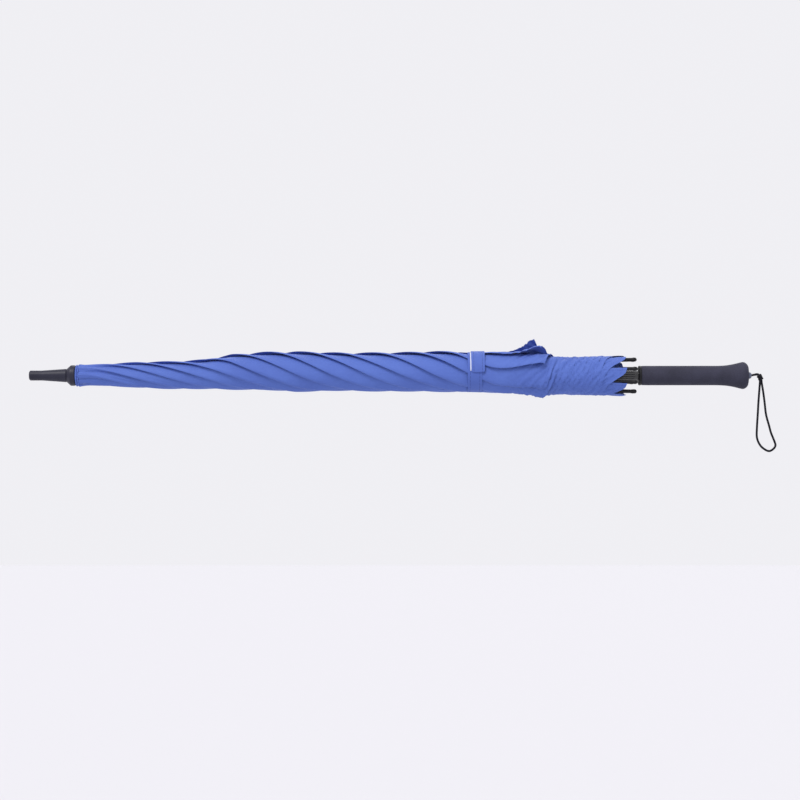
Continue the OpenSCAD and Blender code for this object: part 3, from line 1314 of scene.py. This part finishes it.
    def edge_stand(self, gore: int, along: float, angle: float, steps: float) -> float:
        """How far a flap stands off near its folded edge, except under the strap.

        Args:
            gore: The gore's number, from 0.
            along: Distance along the ribs.
            angle: Angle round the shaft.
            steps: Steps in from the folded edge.

        Returns:
            The change of radius.
        """
        upper = 0.5 + 0.5 * math.sin(angle)
        uneven = noise.noise(Vector((along * 13, gore * 4.3, 5.0)))
        lift = self.edge_least + self.edge_upper * upper + self.edge_uneven * uneven
        free = 1 - smooth(along, *self.settled)
        free *= 0.7 + 0.3 * smooth(along, 0.0, self.crown_ease)
        free *= 1 - math.exp(-(((along - self.tied_at) / 0.02) ** 4))
        return max(0.0, lift) * free * hump(steps, 0.0, 0.35)

    def fold_shape(self, half: Half, along: float, steps: float) -> float:
        """The round of a folded edge: a soft bead outside, and an underside that tucks in.

        Args:
            half: The half of the flap.
            along: Distance along the ribs.
            steps: Steps in from the folded edge.

        Returns:
            The change of radius.
        """
        ease = smooth(along, 0.0, self.crown_ease)
        settle = smooth(along, *self.settled)
        rolled = math.exp(-steps / 0.11) * (1 - 0.7 * settle)
        if half is Half.OUTER:
            return self.bead * ease * hump(steps, 0.16, 0.12) - self.roll * rolled
        tuck_in = self.fold_gap * (0.6 + 0.4 * ease) * (1 - rolled) * hump(steps, 0.0, 0.5)
        return -self.cloth_gap - tuck_in * (1 - settle) - self.roll * rolled

    def crown_ruffle(self, along: float, angle: float) -> float:
        """How far the cloth's start at the crown flares out."""
        near = math.exp(-(along - self.cut.start) / self.ruffle_over)
        return near * (self.ruffle[0] + self.ruffle[1] * ring_noise(angle, 6, 3.0))

    def hem_pull(self, away: float, down: float) -> float:
        """How far the hem is drawn out over the ribs in lobes, and back between them.

        Args:
            away: Distance away from the rib's side.
            down: From 0 at the crown to 1 at the hem.

        Returns:
            The shift towards the handle.
        """
        start, fade = self.lobe_fade
        between = (1 - math.exp(-((away / start) ** 3))) * math.exp(-away / fade)
        pull = self.lobe_reach + self.lobe_round * hump(away, *self.lobe_side)
        return (pull - self.lobe_hollow * between) * smooth(down, 0.9, 1.0)

    def place(self, gore: int, across: float, down: float) -> Placed:
        """Puts one vertex of a wound gore in its place.

        Args:
            gore: The gore's number, from 0.
            across: From 0 at its first rib, over the fold at a half, to 1 at its second rib.
            down: From 0 at the crown to 1 at the hem.

        Returns:
            The point and the maps.
        """
        half = Half.OUTER if across <= 0.5 else Half.INNER
        along, away, from_hem = self.flat_place(across, down)
        part = min(1.0, away / (along * math.tan(self.cut.half_angle)))
        angle = self.wound_angle(gore, half, along, part)
        steps = abs(self.turn(gore, along) * (self.edge_share(along) - part)) / PITCH
        stretched = smooth(along, *self.taut)
        spring = self.corner_lift(gore, along, away)
        radius = self.outline(along, angle) - self.flap_depth(along, steps)
        radius += self.edge_stand(gore, along, angle, steps)
        radius += self.relief(along, angle) * (1 - 0.8 * stretched) + self.taut_rise * stretched
        radius += self.fold_shape(half, along, steps)
        radius += spring + self.crown_ruffle(along, angle)
        tuck = self.crown_tuck * math.exp(-(along - self.cut.start) / self.crown_tuck_over)
        point = radial(angle) * radius
        point.x = self.links.crown_x + along + self.hem_pull(away, down) - tuck - 0.7 * spring
        weave = (along, away if half is Half.OUTER else -away)
        from_seam = away if along > 0.08 else UNSEWN
        return point, weave, (from_seam, along), (from_hem, away)

    def build(self) -> list[bpy.types.Object]:
        """Makes the eight wound gores, each riding on the shaft.

        Returns:
            The pieces.
        """
        made = []
        for gore in range(GORES):
            piece = cloth_grid(f"furled_gore_{gore + 1}", *self.grid, partial(self.place, gore))
            self.finishes.dress(piece, "canopy_cloth")
            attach(piece, Body.SHAFT.value)
            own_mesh(piece)
            self.cut.size()
            self.cut.area()
            Body.RIB.numbered(gore)
            Body.RIB.numbered(gore + 1)
            made.append(piece)
            log.info("wound gore %s: %d faces", piece.name, len(piece.data.polygons))
        return made


# ---------------------------------------------------------------------------------------------
# Open canopy
# ---------------------------------------------------------------------------------------------


@dataclass
class OpenCanopy:
    """Eight stretched gores, each between two ribs, seam to seam when the umbrella is open.

    A gore's shape at rest is worked out as if it bent between its rib's body and its own body,
    which lies on the next rib when open.
    Each vertex is drawn where it has to be at full open, and then worked back to rest.

    Attributes:
        links: The frame's measures.
        cut: The gores' flat shape.
        finishes: The materials.
        slab: Half the width of the band in which the gathered cloth lies at rest.
        clearance: Height of the cloth over the ribs' centres.
        start: How far from the hinges the cloth starts.
        clip_at: Where along the ribs their clips are.
        clip_rise: How much more the clips lift the cloth.
        clip_over: How far along the ribs they do.
        tips: Where along the ribs their end caps start to lift it, and where they do so fully.
        tip_rise: How much more the end caps lift it.
        sag: How far the cloth dips between the ribs at its hem.
        hem_back: How far the hem's corners stay short of the furled cloth's, which hides them.
        grid: How many faces each gore has across and along.
        crowding: How strongly the rows of faces crowd towards the crown. Even rows have 1.
    """

    links: Linkage
    cut: GoreCut
    finishes: Finishes
    slab: float = 1.6 * MM
    clearance: float = 2.45 * MM
    start: float = 2.6 * MM
    clip_at: float = 0.330
    clip_rise: float = 1.7 * MM
    clip_over: float = 0.017
    tips: tuple[float, float] = (0.722, 0.740)
    tip_rise: float = 1.2 * MM
    sag: float = 13 * MM
    hem_back: float = 4 * MM
    grid: tuple[int, int] = (36, 96)
    crowding: float = 1.6

    def sideways(self, gore: int) -> Vector:
        """The direction across a gore's first rib in which its cloth fans out."""
        fan = self.links.fan_axes[gore]
        return fan.cross(self.links.along(gore, self.links.furled_tilt)).normalized()

    def open_point(self, gore: int, across: float, down: float) -> Vector:
        """Where a vertex lies when the umbrella is fully open.

        Args:
            gore: The gore's number, from 0.
            across: From 0 at its first rib to 1 at its second.
            down: From 0 at the crown to 1 at the hem.

        Returns:
            The point.
        """
        tilt = self.links.furled_tilt + self.links.opening
        hem = self.cut.rib_edge - self.hem_back
        hem -= self.cut.scallop * math.sin(math.pi * across) ** 0.8
        reach = self.start + (hem - self.start) * down
        height = self.clearance + self.clip_rise * hump(reach, self.clip_at, self.clip_over)
        height += self.tip_rise * smooth(reach, *self.tips)
        sides = []
        for rib in (gore, gore + 1):
            sides.append(self.links.hinges[rib % GORES] + reach * self.links.along(rib, tilt)
                         + height * self.links.above(rib, tilt))
        point = sides[0].lerp(sides[1], across)
        dip = self.sag * math.sin(math.pi * across) * (reach / self.cut.rib_edge) ** 1.2
        normal = (self.links.above(gore, tilt) + self.links.above(gore + 1, tilt)).normalized()
        point -= dip * normal
        return point

    def rest_point(self, gore: int, target: Vector) -> Vector:
        """The place at rest from which a vertex reaches its place when open.

        Args:
            gore: The gore's number, from 0.
            target: Its place when the umbrella is open.

        Returns:
            Its place at rest.
        """
        hinge, fan = self.links.hinges[gore], self.links.fan_axes[gore]
        swing = Matrix.Rotation(-self.links.opening, 3, tangent(self.links.angles[gore]))
        local = swing @ (target - hinge)
        sideways = self.sideways(gore)

        def at(weight: float) -> Vector:
            """The vertex turned back by a share of the gore's spread."""
            return Matrix.Rotation(-self.links.spread * weight, 3, fan) @ local

        low, high = 0.0, 1.0
        for _ in range(48):
            middle = (low + high) / 2
            share = min(1.0, max(0.0, at(middle).dot(sideways) / (2 * self.slab) + 0.5))
            if share * share * (3 - 2 * share) > middle:
                low = middle
            else:
                high = middle
        return hinge + at((low + high) / 2)

    def place(self, gore: int, across: float, down: float) -> Placed:
        """Puts one vertex of an open gore in its place at rest.

        Args:
            gore: The gore's number, from 0.
            across: From 0 at its first rib to 1 at its second.
            down: From 0 at the crown to 1 at the hem.

        Returns:
            The point and the maps.
        """
        eased = down ** self.crowding
        reach = eased * self.cut.rib_edge
        width = 2 * reach * math.sin(self.cut.half_angle)
        away, side = width * (0.5 - abs(across - 0.5)), width * (across - 0.5)
        point = self.rest_point(gore, self.open_point(gore, across, eased))
        return point, (reach, side), (away, reach), (self.cut.rib_edge - reach, side)

    def build(self) -> list[bpy.types.Object]:
        """Makes the eight open gores, which stand for the frame's plain ones.

        Returns:
            The pieces.
        """
        made = []
        for gore in range(GORES):
            piece = cloth_grid(f"open_gore_{gore + 1}", *self.grid, partial(self.place, gore))
            self.finishes.dress(piece, "canopy_cloth")
            hinge, slab = self.links.hinges[gore], self.slab * self.sideways(gore)
            Body.RIB.numbered(gore)
            Body.GORE.numbered(gore)
            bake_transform(piece)
            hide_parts(f"canopy_gore_{gore + 1}")
            made.append(piece)
            log.info("open gore %s: %d faces", piece.name, len(piece.data.polygons))
        return made


# ---------------------------------------------------------------------------------------------
# Strap, rosette and cord
# ---------------------------------------------------------------------------------------------


@dataclass
class TieStrap:
    """The strap round the furled canopy, with its overlapping tab.

    Attributes:
        canopy: The bundle that it ties.
        finishes: The materials.
        start: Where along the ribs the strap starts.
        width: The strap's width.
        tab_shift: How far the tab lies towards the handle.
        loop_sweep: How far the band goes round the bundle, in radians.
        loop_radius: Not used.
        over: How far the strap's lowest place is over the bundle's outline.
        wave: How far it strays from an even height.
        gathered_at: Not used.
        gathered_keep: Not used.
    """

    canopy: FurledCanopy
    finishes: Finishes
    start: float = 0.5335
    width: float = 20 * MM
    tab_shift: float = 4.2 * MM
    loop_sweep: float = 6.25
    loop_radius: float = 28.5 * MM
    over: float = 0.2 * MM
    wave: float = 0.25 * MM
    gathered_at: float = 19 * MM
    gathered_keep: float = 0.01

    def band(self, name: str, first: float, last: float, shift: float, lift: float,
             end: float, width: float, thick: float = 0.9 * MM) -> bpy.types.Object:
        """Makes one layer of the strap.

        Args:
            name: The piece's name.
            first: The angle at which it starts.
            last: The angle at which it ends.
            shift: How far it lies towards the handle.
            lift: Its height over the bundle.
            end: How far the corners of its last end are rounded off, in radians.
            width: Its width.
            thick: Its thickness.

        Returns:
            The piece.
        """
        def place(across: float, round_: float) -> Placed:
            """Puts one vertex of the band in its place.

            Args:
                across: From 0 to 1 across the strap.
                round_: From 0 to 1 round the bundle.

            Returns:
                The point and the maps.
            """
            side = (across - 0.5) * width
            slack = end * abs(2 * across - 1) ** 9
            angle = first + (last - slack - first) * round_
            along = self.start + self.width / 2 + side + shift
            flat = self.over + self.canopy.outline(along - side * 0.5, angle)
            wave = self.wave * noise.noise(Vector((angle * 4, side * 60, shift * 900)))
            point = radial(angle) * (flat + lift + wave)
            point.x = self.canopy.links.crown_x + along
            edge = width / 2 - abs(side)
            run = angle * flat
            return point, (side, run), (edge, run), (UNSEWN, run)

        piece = cloth_grid(name, 14, max(12, int((last - first) * 24)), place)
        solid = piece.modifiers.new("thickness", "SOLIDIFY")
        solid.thickness = thick
        solid.offset = 1.0
        bevel = piece.modifiers.new("soft_edge", "BEVEL")
        bevel.width = 0.3 * thick
        bevel.segments = 2
        bevel.limit_method = "ANGLE"
        return piece

    def build(self) -> list[bpy.types.Object]:
        """Makes the band, its tab and the tab's bound edge.

        Returns:
            The pieces.
        """
        front, first = math.pi, math.pi - 4.9
        loop = self.band("tie_strap_band", first, first + self.loop_sweep, 0.0, 0.35 * MM, 0.0,
                         self.width)
        tab = self.band("tie_strap_tab", math.radians(52), front - math.radians(8),
                        self.tab_shift, 1.7 * MM, math.radians(4), 0.94 * self.width, 1.3 * MM)
        lining = self.band("tie_strap_lining", math.radians(108), front - math.radians(12),
                           self.tab_shift - 0.5 * self.width, 1.3 * MM, math.radians(2),
                           2 * MM, 0.7 * MM)
        pieces = [loop, tab, lining]
        for piece in pieces:
            self.finishes.dress(piece, "strap_cloth")
            if piece is lining:
                piece.data.materials[0] = self.finishes.lining
            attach(piece, Body.SHAFT.value)
            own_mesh(piece)
            log.info("strap piece %s", piece.name)
        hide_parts("tie_strap")
        return pieces


@dataclass
class Rosette:
    """The puckered ring of cloth between the collar and the canopy.

    Attributes:
        finishes: The materials.
        pleats: How many small gathers go round it.
        inner: The ring's inner radius.
        margin: How far its ridges stay inside the frame's plain ring.
        pucker: How far the gathers stand up.
        stray: How far they stray along the shaft.
        cloth_width: Not used.
    """

    finishes: Finishes
    pleats: int = 26
    inner: float = 9.2 * MM
    margin: float = 0.3 * MM
    pucker: float = 0.7 * MM
    stray: float = 0.5 * MM
    cloth_width: float = 16 * MM

    def build(self) -> bpy.types.Object:
        """Makes the ring.

        Returns:
            The piece.
        """
        low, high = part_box("rosette")
        outer = high.z

        def place(across: float, round_: float) -> Placed:
            """Puts one vertex of the ring in its place.

            Args:
                across: From 0 to 1 along the shaft.
                round_: From 0 to 1 round it.

            Returns:
                The point and the maps.
            """
            angle = 2 * math.pi * round_
            ridges = abs(math.sin(2 * math.pi * across)) ** 0.9
            second = 0.0 if across < 0.5 else 3.0
            gather = ring_noise(angle, 4.5, second)
            gather = ridges * (gather + 0.35 * math.sin(self.pleats * angle + 4 * second))
            shape = max(0.0, math.sin(math.pi * across)) ** 0.2 * (0.66 + 0.34 * ridges)
            radius = self.inner + (outer - self.margin - self.inner) * shape
            point = radial(angle) * (radius + self.pucker * gather)
            point.x = low.x + (high.x - low.x) * across + self.stray * gather
            run = angle * outer
            return point, (across * 0.02, run), (UNSEWN, run), (UNSEWN, run)

        piece = cloth_grid("crown_rosette", 36, 288, place)
        close_round(piece)
        self.finishes.dress(piece, "canopy_cloth")
        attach(piece, Body.SHAFT.value)
        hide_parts("rosette")
        log.info("rosette %s", piece.name)
        return piece


@dataclass
class Grip:
    """The soft foam grip, a little uneven, that widens smoothly to its rounded end.

    Attributes:
        finishes: The materials.
        uneven: How far its surface strays from an even radius.
        profile: Pairs of place along the shaft and radius, round the whole section.
    """

    finishes: Finishes
    uneven: float = 0.08 * MM
    profile: tuple[tuple[float, float], ...] = (
        (-0.0719, 0.0096), (-0.0719, 0.0126), (-0.0714, 0.0131), (-0.0700, 0.0134),
        (-0.0600, 0.0135), (-0.0200, 0.0135), (0.0200, 0.0135), (0.0360, 0.0136),
        (0.0460, 0.0142), (0.0550, 0.0156), (0.0620, 0.0172), (0.0670, 0.0184),
        (0.0695, 0.0187), (0.0718, 0.0182), (0.0742, 0.0166), (0.0758, 0.0145),
        (0.0760, 0.0130), (0.0760, 0.0053))

    def build(self) -> bpy.types.Object:
        """Makes the grip.

        Returns:
            The piece.
        """
        line = flowing(tuple((x, 0.0, r) for x, r in self.profile), 5)

        def place(across: float, round_: float) -> Placed:
            """Puts one vertex of the grip in its place.

            Args:
                across: From 0 to 1 along its profile.
                round_: From 0 to 1 round the shaft.

            Returns:
                The point and the maps.
            """
            spot = line[round(across * (len(line) - 1))]
            angle = 2 * math.pi * round_
            swell = noise.noise(Vector((spot.x * 60, math.cos(angle) * 1.5, math.sin(angle) * 1.5)))
            radius = spot.z + self.uneven * swell
            point = radial(angle) * radius
            point.x = spot.x
            run = angle * radius
            return point, (spot.x, run), (UNSEWN, run), (UNSEWN, run)

        piece = cloth_grid("foam_grip", len(line) - 1, 96, place)
        close_round(piece)
        self.finishes.dress(piece, "foam_grip")
        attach(piece, Body.SHAFT.value)
        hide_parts("handle_grip")
        log.info("grip %s", piece.name)
        return piece


@dataclass
class WristCord:
    """The loop of braided cord at the handle's end, and the knot that closes it.

    Attributes:
        finishes: The materials.
        diameter: The cord's diameter.
        knot_diameter: Its diameter where the knot draws it tight.
        knot_turns: How many times it goes round in the knot.
        knot_steps: The number of points along it there, less one.
        knot_height: How far the turns reach from the first to the last.
        route: Points along the cord, out of the end plug and back to it.
    """

    finishes: Finishes
    diameter: float = 3 * MM
    knot_diameter: float = 2.5 * MM
    knot_turns: int = 3
    knot_steps: int = 90
    knot_height: float = 5.4 * MM
    route: tuple[tuple[float, float, float], ...] = (
        (0.081, -0.0017, 0), (0.085, -0.0017, 0.001), (0.090, -0.0017, 0.001),
        (0.093, -0.0017, -0.003), (0.093, -0.0017, -0.009), (0.092, -0.0016, -0.023),
        (0.091, -0.0014, -0.037), (0.090, -0.0012, -0.055), (0.089, -0.001, -0.072),
        (0.089, -0.0006, -0.086), (0.093, -0.0003, -0.096), (0.099, 0, -0.102),
        (0.106, 0.0002, -0.105), (0.112, 0.0004, -0.102), (0.115, 0.0006, -0.097),
        (0.113, 0.0008, -0.090), (0.109, 0.001, -0.080), (0.106, 0.0012, -0.069),
        (0.102, 0.0014, -0.054), (0.100, 0.0016, -0.037), (0.098, 0.0017, -0.022),
        (0.096, 0.0017, -0.010), (0.095, 0.0017, -0.003), (0.091, 0.0017, 0.0016),
        (0.086, 0.0017, 0.0012), (0.081, 0.0017, 0))

    def tube(self, name: str, line: list[Vector], radius: float, sides: int) -> bpy.types.Object:
        """A closed tube along a line, with a map of (run, turn) for the braid.

        Args:
            name: The piece's name.
            line: The points that it follows.
            radius: The tube's radius.
            sides: Faces round it.

        Returns:
            The piece.
        """
        shape = bmesh.new()
        rings, maps, run = [], [], 0.0
        for index, point in enumerate(line):
            ahead = line[min(index + 1, len(line) - 1)] - line[max(index - 1, 0)]
            side = Vector((0, 1, 0)).cross(ahead).normalized()
            up = ahead.cross(side).normalized()
            if index:
                run += (point - line[index - 1]).length
            ring = bmesh.ops.create_circle(shape, segments=sides, radius=radius)["verts"]
            for count, vertex in enumerate(ring):
                angle = 2 * math.pi * count / sides
                vertex.co = point + radius * (math.cos(angle) * side + math.sin(angle) * up)
                maps.append((run, count / sides))
            rings.append(ring)
        for first, second in zip(rings, rings[1:]):
            edges = {e for ring in (first, second) for v in ring for e in v.link_edges
                     if e.other_vert(v) in ring}
            bmesh.ops.bridge_loops(shape, edges=list(edges))
        for ring in (rings[0], rings[-1]):
            bmesh.ops.contextual_create(shape, geom=ring)
        bmesh.ops.recalc_face_normals(shape, faces=shape.faces)
        mesh = bpy.data.meshes.new(name)
        shape.to_mesh(mesh)
        shape.free()
        write_map(mesh, "braid", np.array(maps, dtype=float))
        return new_object(name, mesh)

    def wraps(self) -> list[Vector]:
        """The line of the cord in the knot, round the middle of the frame's plain one.

        Returns:
            The line's points.
        """
        low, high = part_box("cord_knot")
        points = []
        for step in range(self.knot_steps + 1):
            share = step / self.knot_steps
            turn = 2 * math.pi * self.knot_turns * share
            out = (2.6 + 0.35 * math.sin(turn * 0.5)) * MM
            rise = (share - 0.5) * self.knot_height
            points.append((low + high) / 2 + Vector((rise * 0.5 + out * math.cos(turn) * 0.8,
                                                     out * 1.12 * math.sin(turn),
                                                     -rise + out * math.cos(turn) * 0.45)))
        return points

    def build(self) -> list[bpy.types.Object]:
        """Makes the cord and its knot.

        Returns:
            The pieces.
        """
        line = flowing(self.route, 6)
        cord = self.tube("wrist_cord_braid", line, self.diameter / 2, 14)
        knot = self.tube("wrist_cord_knot", self.wraps(), self.knot_diameter / 2, 10)
        for piece, node in ((cord, "wrist_cord"), (knot, "cord_knot")):
            self.finishes.dress(piece, "cord_braid")
            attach(piece, Body.SHAFT.value)
            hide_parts(node)
        return [cord, knot]


# ---------------------------------------------------------------------------------------------
# Studio
# ---------------------------------------------------------------------------------------------


@dataclass(frozen=True)
class Lamp:
    """A soft, distant studio light.

    Attributes:
        name: The light's name.
        place: Where it shines from.
        softness: The angle that it takes up, in radians.
        strength: How strong it is.
        colour: Its colour.
    """

    name: str
    place: tuple[float, float, float]
    softness: float
    strength: float
    colour: Color = (1.0, 1.0, 1.0)


@dataclass
class Studio:
    """The floor, the lights and the camera.

    Attributes:
        target: The point that the camera looks at.
        distance: How far it stands in front of that point.
        width: How much of the plane through the point it takes in.
        sensor: The width of the camera's sensor, in millimetres.
        floor_at: The floor's height.
        floor_half: Half its width.
        room: The colour of the surroundings.
        lamps: The lights.
    """

    target: tuple[float, float, float] = (-0.407, 0.0, -0.034)
    distance: float = 3.0
    width: float = 1.112
    sensor: float = 36.0
    floor_at: float = -0.8
    floor_half: float = 7.0
    room: Color = (0.87, 0.865, 0.9)
    lamps: tuple[Lamp, ...] = (
        Lamp("key_light", (-1.6, -2.6, 4.0), 0.45, 1.6, (1.0, 0.985, 0.97)),
        Lamp("rear_light", (0.8, 3.0, 2.2), 0.9, 0.55, (0.95, 0.97, 1.0)),
    )

    def floor(self) -> None:
        """Lays a pale floor below the reach of the open canopy."""
        shape = bmesh.new()
        bmesh.ops.create_grid(shape, x_segments=1, y_segments=1, size=self.floor_half)
        bmesh.ops.translate(shape, verts=shape.verts, vec=(0, 0, self.floor_at))
        mesh = bpy.data.meshes.new("floor")
        shape.to_mesh(mesh)
        shape.free()
        piece = new_object("floor", mesh)
        surface = Surface("pale_floor")
        surface.set(Base_Color=(0.645, 0.64, 0.665, 1.0), Roughness=0.9, Specular_IOR_Level=0.1)
        mesh.materials.append(surface.material)

    def lights(self) -> None:
        """Sets the lamps and the pale surroundings."""
        for lamp in self.lamps:
            data = bpy.data.lights.new(lamp.name, "SUN")
            data.angle = lamp.softness
            data.energy = lamp.strength
            data.color = lamp.colour
            made = bpy.data.objects.new(lamp.name, data)
            bpy.context.scene.collection.objects.link(made)
            made.location = lamp.place
            look = -Vector(lamp.place)
            made.rotation_euler = look.to_track_quat("-Z", "Y").to_euler()
        world = bpy.data.worlds.new("pale_room")
        world.use_nodes = True
        background = world.node_tree.nodes["Background"]
        background.inputs["Color"].default_value = (*self.room, 1.0)
        background.inputs["Strength"].default_value = 1.0
        bpy.context.scene.world = world
        bpy.context.scene.view_settings.view_transform = "Standard"

    def camera(self) -> None:
        """Sets the camera straight in front, level with the umbrella."""
        data = bpy.data.cameras.new("camera")
        data.sensor_width = self.sensor
        data.lens = self.sensor * self.distance / self.width
        made = bpy.data.objects.new("camera", data)
        bpy.context.scene.collection.objects.link(made)
        made.location = Vector(self.target) - Vector((0, self.distance, 0))
        made.rotation_euler = (math.pi / 2, 0, 0)
        bpy.context.scene.camera = made


def main() -> None:
    """Builds the looks of the umbrella round its frame."""
    logging.basicConfig(level=logging.INFO, format="%(name)s: %(message)s")
    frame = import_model()
    studio = Studio()
    studio.camera()
    finishes = Finishes(SharedEffects())
    finishes.dress_frame(frame)
    WristCord(finishes).build()
    links = Linkage(frame)
    cut = GoreCut()
    canopy = FurledCanopy(links, cut, finishes)
    canopy.build()
    OpenCanopy(links, cut, finishes).build()
    TieStrap(canopy, finishes).build()
    Rosette(finishes).build()
    Grip(finishes).build()
    studio.floor()
    studio.lights()


if __name__ == "__main__":
    main()
